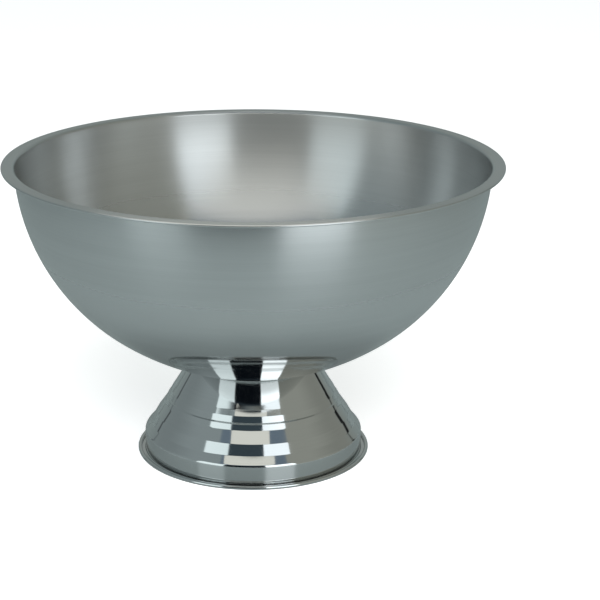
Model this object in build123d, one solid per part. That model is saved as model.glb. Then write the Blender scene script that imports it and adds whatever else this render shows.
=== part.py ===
from build123d import *
import math
import os

# Punch bowl: a drawn sheet-steel bowl clamped to a spun sheet-steel foot by one central stud and nut.
# Millimetres. The origin is on the axis, in the plane that the foot stands on, with +Z up.
# Every shell is one run of straights and bends in the (radius, height) plane, turned about the Z axis.

# Overall sizes
RIM_DIAMETER = 380.0  # over the rolled lip
OVERALL_HEIGHT = 232.6  # standing plane to the lip's crest
FOOT_HEIGHT = 66.9  # standing plane to the flat underside of the bowl
FOOT_DIAMETER = 182.2  # over the curled hem

# Bowl
BOWL_WALL = 0.8
BOWL_FLAT_RADIUS = 20.0  # flat middle of the underside
BOWL_BLEND_RADIUS = 60.0  # bend from the flat into the long bottom curve
BLEND_SLOPE = 11.7  # degrees above level where the blend meets the bottom curve
BOTTOM_SLOPE = 35.3  # degrees above level where the bottom curve meets the side curve
MOUTH_SLOPE = 87.6  # degrees above level where the side meets the lip

# Lip: bent outward, then its edge rolled under
LIP_WIDTH = 9.55  # overhang beyond the wall's outer face
LIP_BEND_RADIUS = 1.9  # on the underside
LIP_FALL = 2.0  # degrees, downward towards the edge
LIP_ROLL_RADIUS = 0.1  # inside the rolled edge
LIP_ROLL_TURN = 185.0  # degrees
LIP_TAIL = 1.6  # straight end of the sheet under the lip

# Foot, from the hem up
FOOT_WALL = 0.8
SKIRT_DIAMETER = 170.6
HEM_BEND_RADIUS = 0.8  # bottom of the groove beside the skirt
HEM_ROLL_RADIUS = 0.75  # inside the curl
HEM_ROLL_TURN = 283.0  # degrees
SKIRT_HEIGHT = 16.85
SKIRT_BEND = 3.5
# Bands above the skirt: (height, lean from upright in degrees, bend radius at the band's top)
FOOT_BANDS = (
    (6.05, 41.0, 2.0),  # lower cove
    (7.8, 29.7, 2.5),  # lower band
    (8.7, 35.5, 7.0),  # upper cove
    (4.0, 27.6, 1.2),  # ring bead
    (0.9, 46.0, 0.8),  # ledge above the bead
    (4.4, 27.0, 3.0),  # neck band
    (4.2, 33.0, 20.0),  # neck cove
)
SHOULDER_RADIUS = 1.8
SEAT_RADIUS = 48.2  # where the foot leaves the underside of the bowl

# Fastening
STUD_DIAMETER = 8.0
STUD_LENGTH = 18.0  # from the underside of the bowl to the tip
STUD_CHAMFER = 0.8
STUD_FLANGE_DIAMETER = 10.0
STUD_FLANGE_THICKNESS = 1.2
FLANGE_CLEARANCE = 0.6  # around the stud's flange, in the foot and in the load plate
PLATE_THICKNESS = 2.0
PLATE_RADIUS = 38.0
WASHER_DIAMETER = 16.0
WASHER_THICKNESS = 1.6
WASHER_CLEARANCE = 0.2  # around the stud
LOCK_WIDTH = 3.3  # section of the split washer, radially
LOCK_THICKNESS = 2.0
LOCK_CLEARANCE = 0.1
LOCK_SPLIT = 1.2
LOCK_SPLIT_LEAN = 20.0  # degrees from upright
NUT_ACROSS_FLATS = 13.0
NUT_HEIGHT = 6.8
NUT_CORNER_DROP = 0.75  # height lost at the corners to the chamfer
THREAD_CLEARANCE = 0.02  # the thread is a plain bore on a plain shank
CUTTER_EXCESS = 4.0  # a cutting solid's length, as a multiple of the material it passes through


def straight(length):
    return ("straight", length, 0.0)


def bend(radius, turn):
    """A bend of the reference line: turn in degrees, positive to the left of the way it runs."""
    return ("bend", radius, turn)


def direction(degrees):
    return Vector(math.cos(math.radians(degrees)), math.sin(math.radians(degrees)))


def steps_between(corners, bends):
    """Straights with tangent bends that follow a line of corners, one bend per inner corner."""
    legs = [end - start for start, end in zip(corners, corners[1:])]
    headings = [math.degrees(math.atan2(leg.Y, leg.X)) for leg in legs]
    steps = []
    trim_before = 0.0
    for index, leg in enumerate(legs):
        last = index == len(legs) - 1
        turn = 0.0 if last else headings[index + 1] - headings[index]
        radius = 0.0 if last else bends[index]
        trim_after = radius * math.tan(math.radians(abs(turn)) / 2)
        steps.append(straight(leg.length - trim_before - trim_after))
        if not last:
            steps.append(bend(radius, turn))
        trim_before = trim_after
    return steps


def sheet(start, heading, steps, wall):
    """A shell of revolution from a run of sheet metal.

    The steps give one face of the sheet. The other runs parallel, one wall to the left of it,
    or to the right where the wall is negative.
    """
    point = start
    near = []
    far = []
    for kind, size, turn in steps:
        left = direction(heading + 90)
        if kind == "straight":
            end = point + direction(heading) * size
            near.append(Line(point, end))
            far.append(Line(point + left * wall, end + left * wall))
        else:
            side = math.copysign(1, turn)
            centre = point + left * size * side
            first = heading - 90 * side
            near.append(CenterArc(centre, size, first, turn))
            far.append(CenterArc(centre, size - side * wall, first, turn))
            heading += turn
            end = centre + direction(first + turn) * size
        point = end
    ends = [Line(near[0] @ 0, far[0] @ 0), Line(near[-1] @ 1, far[-1] @ 1)]
    section = Plane.XZ * make_face([*near, *far, *ends])
    return revolve(section, Axis.Z)


def sine(degrees):
    return math.sin(math.radians(degrees))


def cosine(degrees):
    return math.cos(math.radians(degrees))


def bowl_radii():
    """Radii of the bottom and side curves that carry the wall from the blend to the mouth."""
    crest_rise = LIP_BEND_RADIUS + BOWL_WALL - LIP_BEND_RADIUS * cosine(MOUTH_SLOPE)
    run = RIM_DIAMETER / 2 - LIP_WIDTH - BOWL_FLAT_RADIUS - BOWL_BLEND_RADIUS * sine(BLEND_SLOPE)
    rise = OVERALL_HEIGHT - crest_rise - FOOT_HEIGHT - BOWL_BLEND_RADIUS * (1 - cosine(BLEND_SLOPE))
    run_bottom = sine(BOTTOM_SLOPE) - sine(BLEND_SLOPE)
    run_side = sine(MOUTH_SLOPE) - sine(BOTTOM_SLOPE)
    rise_bottom = cosine(BLEND_SLOPE) - cosine(BOTTOM_SLOPE)
    rise_side = cosine(BOTTOM_SLOPE) - cosine(MOUTH_SLOPE)
    scale = run_bottom * rise_side - run_side * rise_bottom
    bottom = (run * rise_side - rise * run_side) / scale
    side = (rise * run_bottom - run * rise_bottom) / scale
    return bottom, side


BOTTOM_RADIUS, SIDE_RADIUS = bowl_radii()
BLEND_END_RADIUS = BOWL_FLAT_RADIUS + BOWL_BLEND_RADIUS * sine(BLEND_SLOPE)


def slope_on_bottom(radius):
    """Slope of the bowl's bottom curve, in degrees, at a distance from the axis."""
    return math.degrees(math.asin(sine(BLEND_SLOPE) + (radius - BLEND_END_RADIUS) / BOTTOM_RADIUS))


def underside(first_radius, last_radius, depth):
    """Steps along the underside of the bowl, or along a face that lies the given depth below it."""
    return [
        straight(BOWL_FLAT_RADIUS - first_radius),
        bend(BOWL_BLEND_RADIUS + depth, BLEND_SLOPE),
        bend(BOTTOM_RADIUS + depth, slope_on_bottom(last_radius) - BLEND_SLOPE),
    ]


def make_bowl():
    roll_outer = LIP_ROLL_RADIUS + BOWL_WALL
    bend_run = LIP_BEND_RADIUS * (sine(MOUTH_SLOPE) + sine(LIP_FALL))
    level = LIP_WIDTH - bend_run - roll_outer + LIP_ROLL_RADIUS * sine(LIP_FALL)
    steps = [
        straight(BOWL_FLAT_RADIUS),
        bend(BOWL_BLEND_RADIUS, BLEND_SLOPE),
        bend(BOTTOM_RADIUS, BOTTOM_SLOPE - BLEND_SLOPE),
        bend(SIDE_RADIUS, MOUTH_SLOPE - BOTTOM_SLOPE),
        bend(LIP_BEND_RADIUS, -(MOUTH_SLOPE + LIP_FALL)),
        straight(level / cosine(LIP_FALL)),
        bend(LIP_ROLL_RADIUS, -LIP_ROLL_TURN),
        straight(LIP_TAIL),
    ]
    return sheet(Vector(0, FOOT_HEIGHT), 0, steps, BOWL_WALL)


def foot_corners():
    """Corners of the foot's outer face, from the top of the neck cove down to the hem's curl."""
    corner = Vector(SKIRT_DIAMETER / 2, SKIRT_HEIGHT)
    corners = [corner]
    for height, lean, _ in FOOT_BANDS:
        corner = corner + Vector(-height * math.tan(math.radians(lean)), height)
        corners.append(corner)
    corners.reverse()
    curl_centre = FOOT_DIAMETER / 2 - HEM_ROLL_RADIUS - FOOT_WALL
    return corners + [Vector(SKIRT_DIAMETER / 2, FOOT_WALL), Vector(curl_centre, FOOT_WALL)]


def make_foot():
    hole = STUD_FLANGE_DIAMETER / 2 + FLANGE_CLEARANCE
    corners = foot_corners()
    bends = [row[2] for row in reversed(FOOT_BANDS)] + [SKIRT_BEND, HEM_BEND_RADIUS]

    # The shoulder leaves the underside of the bowl and turns down into the neck cone.
    slope = slope_on_bottom(SEAT_RADIUS)
    rise = BOWL_BLEND_RADIUS * (1 - cosine(BLEND_SLOPE))
    rise += BOTTOM_RADIUS * (cosine(BLEND_SLOPE) - cosine(slope))
    seat_end = Vector(SEAT_RADIUS, FOOT_HEIGHT + rise)
    centre = seat_end + direction(slope - 90) * SHOULDER_RADIUS
    reach = corners[0] - centre
    line = math.degrees(math.atan2(reach.Y, reach.X))
    cone = line - math.degrees(math.asin(SHOULDER_RADIUS / reach.length))
    cone_start = centre + direction(cone + 90) * SHOULDER_RADIUS

    steps = underside(hole, SEAT_RADIUS, 0)
    steps.append(bend(SHOULDER_RADIUS, cone - slope))
    steps += steps_between([cone_start, *corners], bends)
    steps.append(bend(HEM_ROLL_RADIUS, HEM_ROLL_TURN))
    return sheet(Vector(hole, FOOT_HEIGHT), 0, steps, -FOOT_WALL)


def make_load_plate():
    hole = STUD_FLANGE_DIAMETER / 2 + FLANGE_CLEARANCE
    steps = underside(hole, PLATE_RADIUS, FOOT_WALL)
    return sheet(Vector(hole, FOOT_HEIGHT - FOOT_WALL), 0, steps, -PLATE_THICKNESS)


def ring(outer_radius, inner_radius, top, height):
    """A flat ring about the axis that hangs from the given height."""
    profile = Circle(outer_radius) - Circle(inner_radius)
    return Pos(0, 0, top - height) * extrude(profile, height)


def make_weld_stud():
    """Flange against the underside of the bowl, with the shank hanging from it."""
    hanging = (Align.CENTER, Align.CENTER, Align.MAX)
    flange = Cylinder(STUD_FLANGE_DIAMETER / 2, STUD_FLANGE_THICKNESS, align=hanging)
    shank = Cylinder(STUD_DIAMETER / 2, STUD_LENGTH, align=hanging)
    tip = shank.edges().filter_by(GeomType.CIRCLE).sort_by(Axis.Z)[0]
    return Pos(0, 0, FOOT_HEIGHT) * (flange + chamfer(tip, STUD_CHAMFER))


PLATE_FACE = FOOT_HEIGHT - FOOT_WALL - PLATE_THICKNESS
WASHER_FACE = PLATE_FACE - WASHER_THICKNESS
LOCK_FACE = WASHER_FACE - LOCK_THICKNESS


def make_flat_washer():
    return ring(WASHER_DIAMETER / 2, STUD_DIAMETER / 2 + WASHER_CLEARANCE, PLATE_FACE, WASHER_THICKNESS)


def make_lock_washer():
    inner = STUD_DIAMETER / 2 + LOCK_CLEARANCE
    outer = inner + LOCK_WIDTH
    washer = ring(outer, inner, WASHER_FACE, LOCK_THICKNESS)
    cutter = Box(CUTTER_EXCESS * LOCK_WIDTH, LOCK_SPLIT, CUTTER_EXCESS * LOCK_THICKNESS)
    split = Rot(LOCK_SPLIT_LEAN, 0, 0) * cutter
    middle = Pos((outer + inner) / 2, 0, WASHER_FACE - LOCK_THICKNESS / 2)
    return washer - middle * split


def make_hex_nut():
    """Hexagon with both faces turned down to round at the corners."""
    across_corners = NUT_ACROSS_FLATS / cosine(30)
    bore = STUD_DIAMETER / 2 + THREAD_CLEARANCE
    hexagon = extrude(RegularPolygon(across_corners / 2, 6), NUT_HEIGHT)
    hexagon -= Cylinder(bore, CUTTER_EXCESS * NUT_HEIGHT)
    face = NUT_ACROSS_FLATS / 2
    corner = across_corners / 2
    turned = Plane.XZ * make_face(
        Polyline(
            (0, 0),
            (face, 0),
            (corner, NUT_CORNER_DROP),
            (corner, NUT_HEIGHT - NUT_CORNER_DROP),
            (face, NUT_HEIGHT),
            (0, NUT_HEIGHT),
            close=True,
        )
    )
    return Pos(0, 0, LOCK_FACE - NUT_HEIGHT) * (hexagon & revolve(turned, Axis.Z))


PIECES = {
    "bowl": make_bowl,
    "foot": make_foot,
    "weld_stud": make_weld_stud,
    "load_plate": make_load_plate,
    "flat_washer": make_flat_washer,
    "lock_washer": make_lock_washer,
    "hex_nut": make_hex_nut,
}

os.makedirs("parts", exist_ok=True)
for node, make in PIECES.items():
    export_step(make(), f"parts/{node}.step")
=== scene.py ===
import bpy
import math
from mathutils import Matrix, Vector


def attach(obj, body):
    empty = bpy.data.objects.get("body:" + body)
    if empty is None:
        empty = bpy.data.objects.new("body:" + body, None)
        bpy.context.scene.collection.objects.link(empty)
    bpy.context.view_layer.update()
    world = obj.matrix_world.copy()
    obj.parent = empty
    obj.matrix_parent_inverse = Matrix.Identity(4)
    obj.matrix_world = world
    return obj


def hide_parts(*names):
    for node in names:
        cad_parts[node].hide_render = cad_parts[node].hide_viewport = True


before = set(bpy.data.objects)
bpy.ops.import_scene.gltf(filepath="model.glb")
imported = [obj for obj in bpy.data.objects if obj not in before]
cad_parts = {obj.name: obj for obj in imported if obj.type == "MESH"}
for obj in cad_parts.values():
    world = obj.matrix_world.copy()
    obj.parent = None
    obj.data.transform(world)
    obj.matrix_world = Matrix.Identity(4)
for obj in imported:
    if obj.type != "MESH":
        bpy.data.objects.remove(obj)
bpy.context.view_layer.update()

# Camera: metres and degrees
CAMERA_PLACE = (0.0, -1.3488, 0.5482)
CAMERA_PITCH = 17.677  # degrees below level
LENS_MM = 109.38
SENSOR_MM = 36.0
SHIFT = (0.078, 0.0052)

# The two sheet-metal shells, in millimetres, as in the CAD part
MM = 0.001
RIM_DIAMETER = 380.0
OVERALL_HEIGHT = 232.6
FOOT_HEIGHT = 66.9
FOOT_DIAMETER = 182.2
BOWL_WALL = 0.8
BOWL_FLAT_RADIUS = 20.0
BOWL_BLEND_RADIUS = 60.0
BLEND_SLOPE = 11.7
BOTTOM_SLOPE = 35.3
MOUTH_SLOPE = 87.6
LIP_WIDTH = 9.55
LIP_BEND_RADIUS = 1.9
LIP_FALL = 2.0
LIP_ROLL_RADIUS = 0.1
LIP_ROLL_TURN = 185.0
LIP_TAIL = 1.6
FOOT_WALL = 0.8
SKIRT_DIAMETER = 170.6
HEM_BEND_RADIUS = 0.8
HEM_ROLL_RADIUS = 0.75
HEM_ROLL_TURN = 283.0
SKIRT_HEIGHT = 16.85
SKIRT_BEND = 3.5
FOOT_BANDS = (  # from the skirt up: height, lean from upright in degrees, bend radius at the top
    (6.05, 41.0, 2.0),
    (7.8, 29.7, 2.5),
    (8.7, 35.5, 7.0),
    (4.0, 27.6, 1.2),
    (0.9, 46.0, 0.8),
    (4.4, 27.0, 3.0),
    (4.2, 33.0, 20.0),
)
SHOULDER_RADIUS = 1.8
SEAT_RADIUS = 48.2
FOOT_HOLE_RADIUS = 5.6

# Fineness of the turned meshes
SEGMENTS = 360
LONGEST_STEP = 4.0  # millimetres along the profile
LARGEST_TURN = 9.0  # degrees of a bend between two rings
ON_AXIS = 1e-6  # millimetres; a smaller radius is the axis


# ---------------------------------------------------------------- profiles
def direction(degrees):
    return Vector((math.cos(math.radians(degrees)), math.sin(math.radians(degrees))))


def sine(degrees):
    return math.sin(math.radians(degrees))


def cosine(degrees):
    return math.cos(math.radians(degrees))


def straight(length):
    return ("straight", length, 0.0)


def bend(radius, turn):
    return ("bend", radius, turn)


def walk(start, heading, steps, wall):
    """Both faces of a run of sheet: two lists of (point, outward normal), in the (radius, height) plane.

    The steps give the near face, and the far one lies one wall to the left, or right if wall is negative.
    """
    side_of_metal = math.copysign(1, wall)
    point = Vector(start)
    near = []
    far = []

    def note(place, course):
        left = direction(course + 90)
        near.append((place.copy(), left * -side_of_metal))
        far.append((place + left * wall, left * side_of_metal))

    note(point, heading)
    for kind, size, turn in steps:
        if kind == "straight":
            count = max(1, math.ceil(size / LONGEST_STEP))
            for index in range(1, count + 1):
                note(point + direction(heading) * (size * index / count), heading)
            point = point + direction(heading) * size
        else:
            side = math.copysign(1, turn)
            centre = point + direction(heading + 90) * size * side
            length = math.radians(abs(turn)) * size
            count = max(2, math.ceil(length / LONGEST_STEP), math.ceil(abs(turn) / LARGEST_TURN))
            for index in range(1, count + 1):
                course = heading + turn * index / count
                note(centre - direction(course + 90) * size * side, course)
            heading += turn
            point = centre - direction(heading + 90) * size * side
    return near, far


def steps_between(corners, bends):
    legs = [end - start for start, end in zip(corners, corners[1:])]
    headings = [math.degrees(math.atan2(leg.y, leg.x)) for leg in legs]
    steps = []
    trim_before = 0.0
    for index, leg in enumerate(legs):
        last = index == len(legs) - 1
        turn = 0.0 if last else headings[index + 1] - headings[index]
        radius = 0.0 if last else bends[index]
        trim_after = radius * math.tan(math.radians(abs(turn)) / 2)
        steps.append(straight(leg.length - trim_before - trim_after))
        if not last:
            steps.append(bend(radius, turn))
        trim_before = trim_after
    return steps


def bowl_radii():
    crest_rise = LIP_BEND_RADIUS + BOWL_WALL - LIP_BEND_RADIUS * cosine(MOUTH_SLOPE)
    run = RIM_DIAMETER / 2 - LIP_WIDTH - BOWL_FLAT_RADIUS - BOWL_BLEND_RADIUS * sine(BLEND_SLOPE)
    rise = OVERALL_HEIGHT - crest_rise - FOOT_HEIGHT - BOWL_BLEND_RADIUS * (1 - cosine(BLEND_SLOPE))
    run_bottom = sine(BOTTOM_SLOPE) - sine(BLEND_SLOPE)
    run_side = sine(MOUTH_SLOPE) - sine(BOTTOM_SLOPE)
    rise_bottom = cosine(BLEND_SLOPE) - cosine(BOTTOM_SLOPE)
    rise_side = cosine(BOTTOM_SLOPE) - cosine(MOUTH_SLOPE)
    scale = run_bottom * rise_side - run_side * rise_bottom
    return (run * rise_side - rise * run_side) / scale, (rise * run_bottom - run * rise_bottom) / scale


BOTTOM_RADIUS, SIDE_RADIUS = bowl_radii()
BLEND_END_RADIUS = BOWL_FLAT_RADIUS + BOWL_BLEND_RADIUS * sine(BLEND_SLOPE)


def slope_on_bottom(radius):
    return math.degrees(math.asin(sine(BLEND_SLOPE) + (radius - BLEND_END_RADIUS) / BOTTOM_RADIUS))


def bowl_faces():
    roll_outer = LIP_ROLL_RADIUS + BOWL_WALL
    bend_run = LIP_BEND_RADIUS * (sine(MOUTH_SLOPE) + sine(LIP_FALL))
    level = LIP_WIDTH - bend_run - roll_outer + LIP_ROLL_RADIUS * sine(LIP_FALL)
    steps = [
        straight(BOWL_FLAT_RADIUS),
        bend(BOWL_BLEND_RADIUS, BLEND_SLOPE),
        bend(BOTTOM_RADIUS, BOTTOM_SLOPE - BLEND_SLOPE),
        bend(SIDE_RADIUS, MOUTH_SLOPE - BOTTOM_SLOPE),
        bend(LIP_BEND_RADIUS, -(MOUTH_SLOPE + LIP_FALL)),
        straight(level / cosine(LIP_FALL)),
        bend(LIP_ROLL_RADIUS, -LIP_ROLL_TURN),
        straight(LIP_TAIL),
    ]
    return walk((0, FOOT_HEIGHT), 0, steps, BOWL_WALL)


def foot_faces():
    corner = Vector((SKIRT_DIAMETER / 2, SKIRT_HEIGHT))
    corners = [corner]
    for height, lean, _ in FOOT_BANDS:
        corner = corner + Vector((-height * math.tan(math.radians(lean)), height))
        corners.append(corner)
    corners.reverse()
    curl_centre = FOOT_DIAMETER / 2 - HEM_ROLL_RADIUS - FOOT_WALL
    corners += [Vector((SKIRT_DIAMETER / 2, FOOT_WALL)), Vector((curl_centre, FOOT_WALL))]
    bends = [row[2] for row in reversed(FOOT_BANDS)] + [SKIRT_BEND, HEM_BEND_RADIUS]

    slope = slope_on_bottom(SEAT_RADIUS)
    rise = BOWL_BLEND_RADIUS * (1 - cosine(BLEND_SLOPE))
    rise = rise + BOTTOM_RADIUS * (cosine(BLEND_SLOPE) - cosine(slope))
    centre = Vector((SEAT_RADIUS, FOOT_HEIGHT + rise)) + direction(slope - 90) * SHOULDER_RADIUS
    reach = corners[0] - centre
    cone = math.degrees(math.atan2(reach.y, reach.x))
    cone = cone - math.degrees(math.asin(SHOULDER_RADIUS / reach.length))
    cone_start = centre + direction(cone + 90) * SHOULDER_RADIUS
    steps = [
        straight(BOWL_FLAT_RADIUS - FOOT_HOLE_RADIUS),
        bend(BOWL_BLEND_RADIUS, BLEND_SLOPE),
        bend(BOTTOM_RADIUS, slope - BLEND_SLOPE),
        bend(SHOULDER_RADIUS, cone - slope),
        *steps_between([cone_start, *corners], bends),
        bend(HEM_ROLL_RADIUS, HEM_ROLL_TURN),
    ]
    return walk((FOOT_HOLE_RADIUS, FOOT_HEIGHT), 0, steps, -FOOT_WALL)


def turned_mesh(name, faces, metal_on_left, third_from=math.inf):
    """Closed mesh of revolution with exact normals, so that polished metal reflects without facets.

    Materials: 0 on the near face, 1 on the far one, and 2 wherever the radius passes third_from.
    """
    near, far = faces
    runs = [near, far[::-1]]
    outline = []
    for this, following in ((runs[0], runs[1]), (runs[1], runs[0])):
        outline += list(zip(this, this[1:]))
        cut_start, cut_end = this[-1][0], following[0][0]
        across = cut_end - cut_start
        if max(cut_start.x, cut_end.x) > ON_AXIS:
            turn = -90 if metal_on_left else 90
            normal = direction(math.degrees(math.atan2(across.y, across.x)) + turn)
            outline.append(((cut_start, normal), (cut_end, normal)))

    verts = []
    rings = {}

    def ring(place):
        key = (round(place.x, 6), round(place.y, 6))
        if key not in rings:
            first = len(verts)
            if place.x < ON_AXIS:
                verts.append((0, 0, place.y * MM))
                rings[key] = [first] * SEGMENTS
            else:
                for index in range(SEGMENTS):
                    angle = 2 * math.pi * index / SEGMENTS
                    x, y = math.cos(angle) * place.x * MM, math.sin(angle) * place.x * MM
                    verts.append((x, y, place.y * MM))
                rings[key] = list(range(first, first + SEGMENTS))
        return rings[key]

    polygons = []
    normals = []
    slots = []
    for step, ((place_a, normal_a), (place_b, normal_b)) in enumerate(outline):
        ring_a, ring_b = ring(place_a), ring(place_b)
        beyond = min(place_a.x, place_b.x) > third_from
        slots += [2 if beyond else int(step >= len(near))] * SEGMENTS
        for index in range(SEGMENTS):
            after = (index + 1) % SEGMENTS
            if metal_on_left:
                order = ((ring_a, index, normal_a), (ring_a, after, normal_a),
                         (ring_b, after, normal_b), (ring_b, index, normal_b))
            else:
                order = ((ring_a, index, normal_a), (ring_b, index, normal_b),
                         (ring_b, after, normal_b), (ring_a, after, normal_a))
            corners = []
            for ring_used, at, normal in order:
                if ring_used[at] in (vertex for vertex, _ in corners):
                    continue
                angle = 2 * math.pi * at / SEGMENTS
                pointing = (math.cos(angle) * normal.x, math.sin(angle) * normal.x, normal.y)
                corners.append((ring_used[at], pointing))
            polygons.append([vertex for vertex, _ in corners])
            normals += [pointing for _, pointing in corners]
    mesh = bpy.data.meshes.new(name)
    mesh.from_pydata(verts, [], polygons)
    mesh.shade_smooth()
    mesh.polygons.foreach_set("material_index", slots)
    mesh.normals_split_custom_set(normals)
    mesh.update()
    piece = bpy.data.objects.new(name, mesh)
    bpy.context.scene.collection.objects.link(piece)
    return piece


# ---------------------------------------------------------------- nodes
class Graph:
    """Short calls for building a node tree."""

    def __init__(self, tree):
        self.tree = tree
        self.new = tree.nodes.new

    def put(self, socket, value):
        if isinstance(value, bpy.types.NodeSocket):
            self.tree.links.new(value, socket)
        elif isinstance(value, (tuple, list)) and len(value) == 3 and len(socket.default_value) == 4:
            socket.default_value = (*value, 1.0)
        else:
            socket.default_value = value

    def calc(self, operation, *values, clamp=False):
        node = self.new("ShaderNodeMath")
        node.operation = operation
        node.use_clamp = clamp
        for socket, value in zip(node.inputs, values):
            self.put(socket, value)
        return node.outputs[0]

    def ramp(self, value, low, high, start=0.0, end=1.0, smooth=True):
        node = self.new("ShaderNodeMapRange")
        node.interpolation_type = "SMOOTHSTEP" if smooth else "LINEAR"
        for name, given in (("Value", value), ("From Min", low), ("From Max", high),
                            ("To Min", start), ("To Max", end)):
            self.put(node.inputs[name], given)
        return node.outputs[0]

    def window(self, value, low, high, soft):
        rise = self.ramp(value, low - soft, low + soft)
        fall = self.ramp(value, high - soft, high + soft, 1.0, 0.0)
        return self.calc("MULTIPLY", rise, fall)

    def mix(self, amount, first, second, mode="MIX"):
        node = self.new("ShaderNodeMix")
        node.data_type = "RGBA"
        node.blend_type = mode
        self.put(node.inputs[0], amount)
        self.put(node.inputs[6], first)
        self.put(node.inputs[7], second)
        return node.outputs[2]

    def noise(self, vector, scale, detail=2.0, rough=0.5, w=None):
        node = self.new("ShaderNodeTexNoise")
        node.noise_dimensions = "4D" if w is not None else "3D"
        self.put(node.inputs["Vector"], vector)
        if w is not None:
            self.put(node.inputs["W"], w)
        node.inputs["Scale"].default_value = scale
        node.inputs["Detail"].default_value = detail
        node.inputs["Roughness"].default_value = rough
        return node.outputs["Fac"]

    def position(self):
        return self.new("ShaderNodeTexCoord").outputs["Object"]

    def vector(self, operation, *values):
        node = self.new("ShaderNodeVectorMath")
        node.operation = operation
        for socket, value in zip(node.inputs, values):
            self.put(socket, value)
        return node.outputs[0]

    def split(self, vector):
        node = self.new("ShaderNodeSeparateXYZ")
        self.put(node.inputs[0], vector)
        return node.outputs

    def join(self, x, y, z):
        node = self.new("ShaderNodeCombineXYZ")
        for socket, value in zip(node.inputs, (x, y, z)):
            self.put(socket, value)
        return node.outputs[0]

    def bump(self, height, strength, distance):
        node = self.new("ShaderNodeBump")
        self.put(node.inputs["Height"], height)
        node.inputs["Strength"].default_value = strength
        node.inputs["Distance"].default_value = distance
        return node.outputs[0]

    def around_axis(self, wander):
        """Axes of turned marks: the two parts of a circle of radius wander, distance from axis, height."""
        x, y, z = self.split(self.position())
        radius = self.calc("SQRT", self.calc("ADD", self.calc("MULTIPLY", x, x), self.calc("MULTIPLY", y, y)))
        safe = self.calc("MAXIMUM", radius, 1e-4)
        cos_part = self.calc("MULTIPLY", self.calc("DIVIDE", x, safe), wander)
        sin_part = self.calc("MULTIPLY", self.calc("DIVIDE", y, safe), wander)
        return cos_part, sin_part, radius, z


def new_material(name):
    made = bpy.data.materials.new(name)
    made.use_nodes = True
    graph = Graph(made.node_tree)
    return made, graph, made.node_tree.nodes["Principled BSDF"]


# ---------------------------------------------------------------- finishes
# Marks are counted in noise cells per metre of radius and height. A pair of roughnesses is a range.
BRUSH_WANDER = 1.1  # how far a brush mark runs round before it fades; smaller is longer
SPREAD_UP_AND_DOWN = 0.25  # turn of the anisotropy that spreads light across marks that run round the axis

# Tones of the inside's brush streaks. Both tones are also painted shade: darker than the outside's steel, so
# the bowl's hollow looks shaded.
INNER_DARK_SHADED = (0.215, 0.215, 0.205)
INNER_LIGHT_SHADED = (0.50, 0.50, 0.485)
INNER_FINE, INNER_STREAKS, INNER_BROAD = 3600.0, 900.0, 170.0
INNER_ROUGH = (0.12, 0.19)
INNER_WEAR = 0.02
HAIRLINE_TILT = 0.55  # slope of the hairline grooves where the noise is at its ends
STREAK_TILT = 0.16

SATIN_STARTS = 0.135  # metres from the axis, on the outside of the bowl
SATIN_FULL = 0.172
POLISHED_DARK, SATIN_DARK = (0.53, 0.54, 0.54), (0.60, 0.61, 0.61)
POLISHED_LIGHT, SATIN_LIGHT = (0.59, 0.60, 0.60), (0.66, 0.67, 0.67)
OUTER_FINE, OUTER_BROAD = 2600.0, 160.0
POLISHED_ROUGH, SATIN_ROUGH = 0.06, 0.30
OUTER_WEAR = 0.015

LIP_FROM = 181.2  # millimetres from the axis: the flange and its edge, beyond the bend
LIP_DARK, LIP_LIGHT = (0.50, 0.51, 0.51), (0.62, 0.63, 0.63)
LIP_MARKS = 1500.0
LIP_ROUGH = (0.11, 0.20)

FOOT_DARK, FOOT_LIGHT = (0.66, 0.67, 0.67), (0.71, 0.72, 0.715)
FOOT_MARKS = 900.0
FOOT_ROUGH = (0.055, 0.085)

# dark, light, roughness, marks per metre, bump depth in metres
STUD_STEEL = ((0.42, 0.42, 0.41), (0.60, 0.60, 0.59), 0.34, 3000.0, 0.00004)
PLATE_STEEL = ((0.40, 0.40, 0.39), (0.58, 0.58, 0.57), 0.42, 1200.0, 0.00006)
FASTENER_STEEL = ((0.50, 0.50, 0.48), (0.68, 0.68, 0.65), 0.30, 2500.0, 0.00004)


def turned_marks(graph, per_metre, wander, detail=3.0):
    cos_part, sin_part, radius, height = graph.around_axis(wander)
    vector = graph.join(cos_part, sin_part, graph.calc("MULTIPLY", radius, per_metre))
    return graph.noise(vector, 1.0, detail, 0.6, w=graph.calc("MULTIPLY", height, per_metre))


def brushed(graph, shader, anisotropy):
    """Brush marks that run round the axis spread the light up and down the wall."""
    shader.inputs["Metallic"].default_value = 1.0
    shader.inputs["Anisotropic"].default_value = anisotropy
    shader.inputs["Anisotropic Rotation"].default_value = SPREAD_UP_AND_DOWN
    tangent = graph.new("ShaderNodeTangent")
    tangent.direction_type = "RADIAL"
    tangent.axis = "Z"
    graph.put(shader.inputs["Tangent"], tangent.outputs[0])


def hairline_normal(graph, tilt):
    """The surface normal, leant only up or down the wall, as the grooves of the brush hairlines lean."""
    x, y, _ = graph.split(graph.position())
    round_axis = graph.vector("NORMALIZE", graph.join(graph.calc("MULTIPLY", y, -1.0), x, 0.0))
    normal = graph.new("ShaderNodeNewGeometry").outputs["Normal"]
    up_wall = graph.vector("CROSS_PRODUCT", round_axis, normal)
    scale = graph.new("ShaderNodeVectorMath")
    scale.operation = "SCALE"
    graph.put(scale.inputs[0], up_wall)
    graph.put(scale.inputs["Scale"], tilt)
    return graph.vector("NORMALIZE", graph.vector("ADD", normal, scale.outputs[0]))


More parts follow.
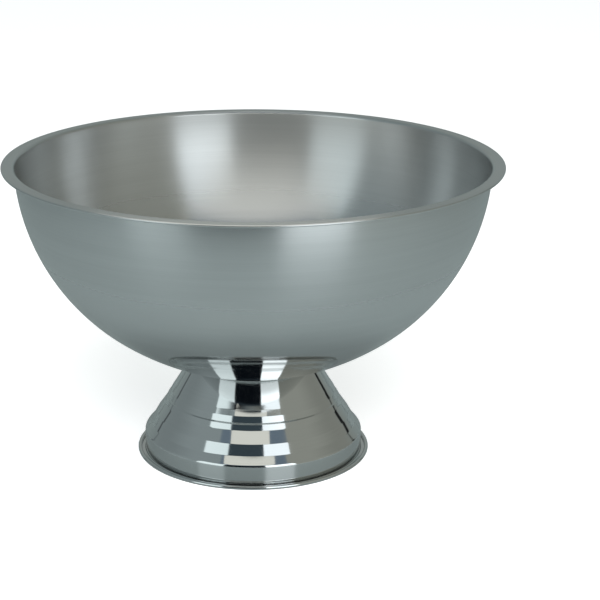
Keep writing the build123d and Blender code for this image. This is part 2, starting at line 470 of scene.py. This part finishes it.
def inner_finish():
    """Inside of the bowl: satin brushed round the axis, with hairlines, streaks, bands and faint wear, and
    painted shade: its steel is coloured darker than the outside's.
    """
    made, graph, shader = new_material("bowl_inner_satin")
    fine = turned_marks(graph, INNER_FINE, BRUSH_WANDER * 3.0, 1.0)
    streaks = turned_marks(graph, INNER_STREAKS, BRUSH_WANDER, 3.0)
    broad = turned_marks(graph, INNER_BROAD, BRUSH_WANDER * 0.7, 2.0)
    cloud = graph.noise(graph.position(), 9.0, 2.0)
    shade = graph.calc("ADD", graph.calc("MULTIPLY", streaks, 0.65), graph.calc("MULTIPLY", broad, 0.35))
    shade = graph.ramp(shade, 0.41, 0.59, smooth=False)
    # painted shade: the streak tones run darker than the outside's steel
    graph.put(shader.inputs["Base Color"], graph.mix(shade, INNER_DARK_SHADED, INNER_LIGHT_SHADED))
    rough = graph.calc("ADD", graph.ramp(streaks, 0.1, 0.9, *INNER_ROUGH, False),
                       graph.ramp(cloud, 0.0, 1.0, -INNER_WEAR, INNER_WEAR, False))
    graph.put(shader.inputs["Roughness"], rough)
    brushed(graph, shader, 1.0)
    lean = graph.calc("ADD", graph.ramp(fine, 0.0, 1.0, -HAIRLINE_TILT, HAIRLINE_TILT, False),
                      graph.ramp(streaks, 0.0, 1.0, -STREAK_TILT, STREAK_TILT, False))
    graph.put(shader.inputs["Normal"], hairline_normal(graph, lean))
    return made


def outer_finish():
    """Outside of the bowl: fine satin on the body, polished nearly to a mirror round the foot."""
    made, graph, shader = new_material("bowl_outer_satin")
    fine = turned_marks(graph, OUTER_FINE, BRUSH_WANDER * 2.0)
    broad = turned_marks(graph, OUTER_BROAD, BRUSH_WANDER * 0.7, 2.0)
    cloud = graph.noise(graph.position(), 8.0, 2.0)
    radius = graph.around_axis(1.0)[2]
    body = graph.ramp(radius, SATIN_STARTS, SATIN_FULL)
    marks = graph.calc("ADD", graph.calc("MULTIPLY", fine, 0.5), graph.calc("MULTIPLY", broad, 0.5))
    shade = graph.ramp(marks, 0.3, 0.7, smooth=False)
    dark = graph.mix(body, POLISHED_DARK, SATIN_DARK)
    light = graph.mix(body, POLISHED_LIGHT, SATIN_LIGHT)
    graph.put(shader.inputs["Base Color"], graph.mix(shade, dark, light))
    rough = graph.calc("ADD", graph.ramp(body, 0.0, 1.0, POLISHED_ROUGH, SATIN_ROUGH, False),
                       graph.ramp(cloud, 0.0, 1.0, -OUTER_WEAR, OUTER_WEAR, False))
    graph.put(shader.inputs["Roughness"], rough)
    brushed(graph, shader, 0.8)
    depth = graph.calc("MULTIPLY", marks, graph.ramp(body, 0.0, 1.0, 0.1, 1.0, False))
    graph.put(shader.inputs["Normal"], graph.bump(depth, 0.12, 0.00008))
    return made


def lip_finish():
    """The flange and its rolled edge: paler than the bowl's inside, with marks of the polishing wheel."""
    made, graph, shader = new_material("bowl_lip_polish")
    marks = turned_marks(graph, LIP_MARKS, BRUSH_WANDER)
    cloud = graph.noise(graph.position(), 20.0, 2.0)
    graph.put(shader.inputs["Base Color"], graph.mix(marks, LIP_DARK, LIP_LIGHT))
    graph.put(shader.inputs["Roughness"], graph.ramp(cloud, 0.0, 1.0, *LIP_ROUGH, False))
    brushed(graph, shader, 0.5)
    graph.put(shader.inputs["Normal"], graph.bump(marks, 0.08, 0.00004))
    return made


def foot_finish():
    """Mirror-polished steel: a trace of the spinning lines, and a faint haze."""
    made, graph, shader = new_material("foot_mirror_steel")
    lines = turned_marks(graph, FOOT_MARKS, 0.5)
    haze = graph.noise(graph.position(), 12.0, 1.0)
    graph.put(shader.inputs["Base Color"], graph.mix(lines, FOOT_DARK, FOOT_LIGHT))
    graph.put(shader.inputs["Roughness"], graph.ramp(haze, 0.0, 1.0, *FOOT_ROUGH, False))
    shader.inputs["Metallic"].default_value = 1.0
    graph.put(shader.inputs["Normal"], graph.bump(lines, 0.02, 0.00002))
    return made


def hidden_finish(name, dark, light, rough, marks_per_metre, bump_depth):
    """Plain steel of the pieces under the foot: turning lines and a fine grain."""
    made, graph, shader = new_material(name)
    lines = turned_marks(graph, marks_per_metre, 0.8)
    grain = graph.noise(graph.position(), 350.0, 4.0)
    both = graph.calc("ADD", graph.calc("MULTIPLY", lines, 0.6), graph.calc("MULTIPLY", grain, 0.4))
    graph.put(shader.inputs["Base Color"], graph.mix(both, dark, light))
    graph.put(shader.inputs["Roughness"], graph.ramp(both, 0.3, 0.7, rough - 0.06, rough + 0.06, False))
    shader.inputs["Metallic"].default_value = 1.0
    graph.put(shader.inputs["Normal"], graph.bump(both, 0.4, bump_depth))
    return made


# ---------------------------------------------------------------- studio
# Rises are degrees above level. Bearings are degrees, 0 towards the camera and positive to its right.
BLACK = (0.0, 0.0, 0.0)
WHITE = (1.0, 1.0, 1.0)
WALL_LEFT = (0.275, 0.325, 0.333)
WALL_RIGHT = (0.315, 0.33, 0.295)
WALL_BEHIND = (0.26, 0.31, 0.305)
LIT_WALL = (0.30, 0.33, 0.32)
LIT_WALL_RISE = (12.0, 38.0)

DARK = (0.004, 0.006, 0.009)  # round the camera
DARK_TOP = (0.045, 0.065, 0.078)
DARK_BEARINGS = (-40.0, 24.0)
DARK_TOP_RISE = (29.0, 38.4)
SLATE = (0.15, 0.20, 0.25)
SLATE_BEARINGS = (-47.0, 48.0)
OVERHEAD = (0.55, 0.57, 0.55)

BOX_LEFT = (1.10, 1.24, 1.26)
BOX_LEFT_TOP = (0.92, 1.06, 1.08)
BOX_LEFT_BEARINGS = (-59.5, -30.5)
BOX_LEFT_RISE = (-6.0, 38.5)
STANDS = ((126.5, 131.5, (0.008, 0.009, 0.01)), (-131.0, -128.5, (0.07, 0.08, 0.085)))
STAND_RISE = (3.0, 16.0)

# Lengths from here on are metres
BOX_RIGHT_FOOT = (1.35, 1.45, 1.48)
BOX_RIGHT = (2.30, 2.46, 2.52)
BOX_RIGHT_TOP = (1.25, 1.36, 1.42)
BOX_RIGHT_BEARINGS = (12.5, 43.0)  # from the object's axis
BOX_RIGHT_AWAY = 1.3
BOX_RIGHT_HEIGHTS = (-0.10, 1.10)
FOOT_FADE = (0.10, 0.38)  # heights over which its foot gives way to its middle
TOP_FADE = (0.50, 0.85)

REFLECTOR_FRONT = (0.85, 0.86, 0.79)
REFLECTOR_OVER_BOWL = (1.00, 1.00, 0.94)
REFLECTOR_CORNERS = ((-0.19, -0.405), (0.14, -0.02))
REFLECTOR_HEIGHT = 0.38

FLOOR_HALF = 12.0
FLOOR_GLOW = 0.7  # lifts the floor to white without lighting the metal
TABLE = (0.238, 0.278, 0.280)
TABLE_FRONT = -0.8
TABLE_PAINTED_SHADOW = 0.72  # brightness of the painted shadow on the table under the object
TABLE_LIGHT = 40.0  # watts
TABLE_LIGHT_PLACE = (0.1, -1.25, 1.4)


def make_world():
    """A studio painted by direction: grey walls, a tall soft box on the left, and dark round the camera."""
    world = bpy.data.worlds.new("studio")
    bpy.context.scene.world = world
    world.use_nodes = True
    graph = Graph(world.node_tree)
    back = world.node_tree.nodes["Background"]
    x, y, z = graph.split(graph.new("ShaderNodeTexCoord").outputs["Generated"])
    degrees = 180 / math.pi
    within = graph.calc("MINIMUM", graph.calc("MAXIMUM", z, -1.0), 1.0)
    rise = graph.calc("MULTIPLY", graph.calc("ARCSINE", within), degrees)
    bearing = graph.calc("MULTIPLY", graph.calc("ARCTAN2", x, graph.calc("MULTIPLY", y, -1.0)), degrees)
    away = graph.calc("ABSOLUTE", bearing)

    # walls, cool on the left and warm on the right, paler behind the object
    walls = graph.mix(graph.ramp(bearing, -25.0, 25.0), WALL_LEFT, WALL_RIGHT)
    walls = graph.mix(graph.ramp(away, 75.0, 112.0), walls, graph.mix(0.22, walls, BLACK))
    walls = graph.mix(graph.ramp(away, 118.0, 150.0), walls, WALL_BEHIND)
    lit_wall = graph.calc("MULTIPLY", graph.ramp(away, 153.0, 160.0), graph.window(rise, *LIT_WALL_RISE, 3.0))
    walls = graph.mix(lit_wall, walls, LIT_WALL)
    # dark surroundings of the camera
    gap = graph.calc("MULTIPLY", graph.window(bearing, *DARK_BEARINGS, 3.0),
                     graph.ramp(rise, 40.5, 42.0, 1.0, 0.0))
    dim = graph.window(rise, *DARK_TOP_RISE, 0.7)
    colour = graph.mix(gap, walls, graph.mix(dim, DARK, DARK_TOP))
    # slate above that, then the light overhead
    high = graph.ramp(rise, 43.0, 45.0)
    slate = graph.calc("MULTIPLY", high, graph.window(bearing, *SLATE_BEARINGS, 1.5))
    colour = graph.mix(slate, colour, SLATE)
    colour = graph.mix(graph.ramp(rise, 62.0, 75.0), colour, OVERHEAD)
    # the far soft box; the near one is a panel of its own
    box = graph.calc("MULTIPLY", graph.window(bearing, *BOX_LEFT_BEARINGS, 1.0),
                     graph.window(rise, *BOX_LEFT_RISE, 1.0))
    colour = graph.mix(box, colour, graph.mix(graph.ramp(rise, 18.0, 40.0), BOX_LEFT, BOX_LEFT_TOP))
    # dark stands beside the object, thinner on the left
    for first, last, shade in STANDS:
        stand = graph.calc("MULTIPLY", graph.window(bearing, first, last, 0.5),
                           graph.window(rise, *STAND_RISE, 1.0))
        colour = graph.mix(stand, colour, shade)

    path = graph.new("ShaderNodeLightPath")
    graph.put(back.inputs["Color"], graph.mix(path.outputs["Is Camera Ray"], colour, WHITE))


def level_sheet(name, low, high, height, colour, rough, specular, glow=0.0):
    mesh = bpy.data.meshes.new(name)
    corners = [(low[0], low[1], 0), (high[0], low[1], 0), (high[0], high[1], 0), (low[0], high[1], 0)]
    mesh.from_pydata(corners, [], [(0, 1, 2, 3)])
    thing = bpy.data.objects.new(name, mesh)
    bpy.context.scene.collection.objects.link(thing)
    thing.location.z = height
    made, graph, shader = new_material(name + "_surface")
    shader.inputs["Base Color"].default_value = (*colour, 1)
    shader.inputs["Roughness"].default_value = rough
    shader.inputs["Specular IOR Level"].default_value = specular
    shader.inputs["Emission Color"].default_value = (*colour, 1)
    shader.inputs["Emission Strength"].default_value = glow
    mesh.materials.append(made)
    return thing


def make_surroundings():
    """The floor, table top and reflector.

    The camera sees a plain pale floor, and the metal reflects a satin grey table top in its place, with a
    painted shadow darker under the object. The reflector hangs over the front of the object, near enough to
    be seen lower from the back wall of the bowl than from the foot.
    """
    far = FLOOR_HALF
    floor = level_sheet("floor", (-far, -far), (far, far), -0.0001, (0.9, 0.9, 0.9), 1.0, 0.0, FLOOR_GLOW)
    floor.visible_glossy = False
    floor.visible_shadow = False
    table = level_sheet("table", (-far, TABLE_FRONT), (far, far), -0.0002, TABLE, 0.22, 0.5)
    graph = Graph(table.data.materials[0].node_tree)
    # painted shadow: the table's colour is darker within 0.10 to 0.19 m of the axis, under the object
    away = graph.around_axis(1.0)[2]
    painted_shadow = tuple(part * TABLE_PAINTED_SHADOW for part in TABLE)
    graph.put(graph.tree.nodes["Principled BSDF"].inputs["Base Color"],
              graph.mix(graph.ramp(away, 0.10, 0.19), painted_shadow, TABLE))
    table.visible_camera = False
    table.visible_diffuse = False
    reflector = level_sheet("reflector", *REFLECTOR_CORNERS, REFLECTOR_HEIGHT, BLACK, 1.0, 0.0)
    graph = Graph(reflector.data.materials[0].node_tree)
    shader = graph.tree.nodes["Principled BSDF"]
    depth = graph.split(graph.position())[1]
    graph.put(shader.inputs["Emission Color"],
              graph.mix(graph.ramp(depth, -0.24, -0.15), REFLECTOR_FRONT, REFLECTOR_OVER_BOWL))
    shader.inputs["Emission Strength"].default_value = 1.0
    seen_in_metal_only(reflector)


def seen_in_metal_only(thing):
    thing.visible_camera = False
    thing.visible_diffuse = False
    thing.visible_shadow = False


def make_near_box():
    """The right-hand soft box, brightest in the middle.

    It stands near enough to be seen further round from the foot than from the back wall of the bowl.
    """
    near, far = (math.radians(angle) for angle in BOX_RIGHT_BEARINGS)
    ends = [(BOX_RIGHT_AWAY * math.sin(angle), -BOX_RIGHT_AWAY * math.cos(angle)) for angle in (near, far)]
    mesh = bpy.data.meshes.new("near_box")
    low, high = BOX_RIGHT_HEIGHTS
    corners = [(*ends[0], low), (*ends[1], low), (*ends[1], high), (*ends[0], high)]
    mesh.from_pydata(corners, [], [(0, 1, 2, 3)])
    panel = bpy.data.objects.new("near_box", mesh)
    bpy.context.scene.collection.objects.link(panel)
    made, graph, shader = new_material("near_box_surface")
    height = graph.split(graph.position())[2]
    shader.inputs["Base Color"].default_value = (0, 0, 0, 1)
    shader.inputs["Specular IOR Level"].default_value = 0.0
    colour = graph.mix(graph.ramp(height, *FOOT_FADE), BOX_RIGHT_FOOT, BOX_RIGHT)
    colour = graph.mix(graph.ramp(height, *TOP_FADE), colour, BOX_RIGHT_TOP)
    graph.put(shader.inputs["Emission Color"], colour)
    shader.inputs["Emission Strength"].default_value = 1.0
    mesh.materials.append(made)
    seen_in_metal_only(panel)


def make_table_light():
    """A broad soft light from the front, for the floor and the table top only."""
    data = bpy.data.lights.new("table_light", "AREA")
    data.energy = TABLE_LIGHT
    data.shape = "DISK"
    data.size = 1.5
    light = bpy.data.objects.new("table_light", data)
    light.location = TABLE_LIGHT_PLACE
    light.rotation_euler = (Vector((0, 0, 0)) - light.location).to_track_quat("-Z", "Y").to_euler()
    light.visible_glossy = False
    light.visible_camera = False
    bpy.context.scene.collection.objects.link(light)


def make_camera():
    data = bpy.data.cameras.new("camera")
    data.lens = LENS_MM
    data.sensor_width = SENSOR_MM
    data.shift_x, data.shift_y = SHIFT
    data.clip_start, data.clip_end = 0.01, 100.0
    camera = bpy.data.objects.new("camera", data)
    camera.location = CAMERA_PLACE
    camera.rotation_euler = (math.radians(90 - CAMERA_PITCH), 0, 0)
    bpy.context.scene.collection.objects.link(camera)
    bpy.context.scene.camera = camera


def dress(thing, *finishes):
    thing.data.materials.clear()
    for finish in finishes:
        thing.data.materials.append(finish)


# ---------------------------------------------------------------- build
make_camera()
make_world()
make_surroundings()
make_near_box()
make_table_light()
bpy.context.scene.view_settings.view_transform = "Standard"

bowl = turned_mesh("bowl_shell", bowl_faces(), True, LIP_FROM)
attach(bowl, "root")
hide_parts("bowl")
dress(bowl, outer_finish(), inner_finish(), lip_finish())

foot = turned_mesh("foot_shell", foot_faces(), False)
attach(foot, "root")
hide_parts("foot")
polish = foot_finish()
dress(foot, polish, polish)

fastener = hidden_finish("fastener_steel", *FASTENER_STEEL)
dress(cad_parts["weld_stud"], hidden_finish("stud_steel", *STUD_STEEL))
dress(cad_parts["load_plate"], hidden_finish("plate_steel", *PLATE_STEEL))
for name in ("flat_washer", "lock_washer", "hex_nut"):
    dress(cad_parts[name], fastener)
